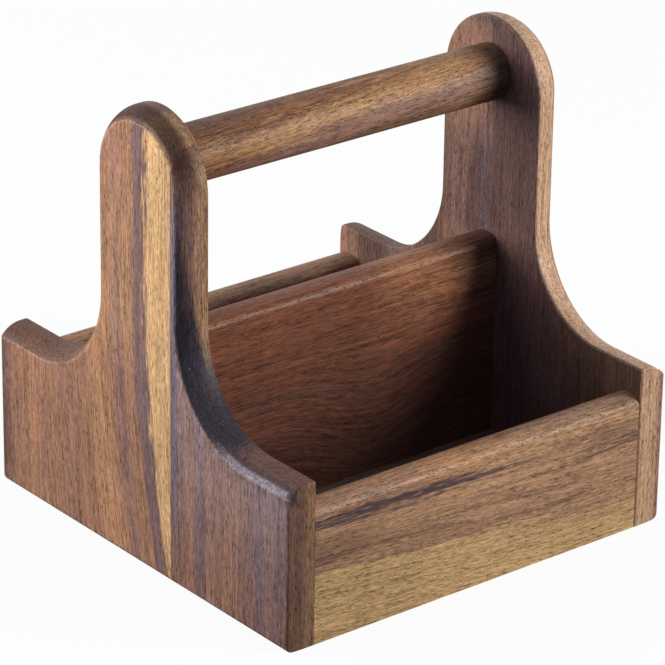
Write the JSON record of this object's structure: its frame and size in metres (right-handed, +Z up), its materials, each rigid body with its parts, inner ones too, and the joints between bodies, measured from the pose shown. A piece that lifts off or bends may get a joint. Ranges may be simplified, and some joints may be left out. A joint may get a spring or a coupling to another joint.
{
  "type": "table caddy",
  "caption": "Open wooden table caddy with compartments either side of a divider, low front and rear walls, shaped end boards and a round bar to carry it by.",
  "frame": {"origin": "centre of the underside, on the surface that the caddy stands on", "axes": "+X along the carrying bar to the right-hand end board, -Y the front, +Z up"},
  "size_m": [0.2, 0.2, 0.2005],
  "materials": {
    "brown_heartwood": "satin oil",
    "grey_heartwood": "satin oil",
    "warm_heartwood": "satin oil",
    "red_heartwood": "satin oil",
    "bar_heartwood": "satin oil",
    "floor_heartwood": "satin oil",
    "pale_dowel": "raw"
  },
  "bodies": {
    "root": {"left_end_front_stave": "grey_heartwood", "left_end_rear_stave": "brown_heartwood", "right_end_front_stave": "grey_heartwood", "right_end_rear_stave": "brown_heartwood", "carrying_bar": "bar_heartwood", "front_wall": "warm_heartwood", "rear_wall": "brown_heartwood", "divider": "red_heartwood", "floor_front_stave": "floor_heartwood", "floor_middle_stave": "floor_heartwood", "floor_rear_stave": "floor_heartwood", "left_divider_lower_dowel": "pale_dowel", "left_divider_upper_dowel": "pale_dowel", "left_floor_front_dowel": "pale_dowel", "left_floor_middle_dowel": "pale_dowel", "left_floor_rear_dowel": "pale_dowel", "left_front_wall_lower_dowel": "pale_dowel", "left_front_wall_upper_dowel": "pale_dowel", "left_rear_wall_lower_dowel": "pale_dowel", "left_rear_wall_upper_dowel": "pale_dowel", "right_divider_lower_dowel": "pale_dowel", "right_divider_upper_dowel": "pale_dowel", "right_floor_front_dowel": "pale_dowel", "right_floor_middle_dowel": "pale_dowel", "right_floor_rear_dowel": "pale_dowel", "right_front_wall_lower_dowel": "pale_dowel", "right_front_wall_upper_dowel": "pale_dowel", "right_rear_wall_lower_dowel": "pale_dowel", "right_rear_wall_upper_dowel": "pale_dowel"}
  },
  "joints": []
}
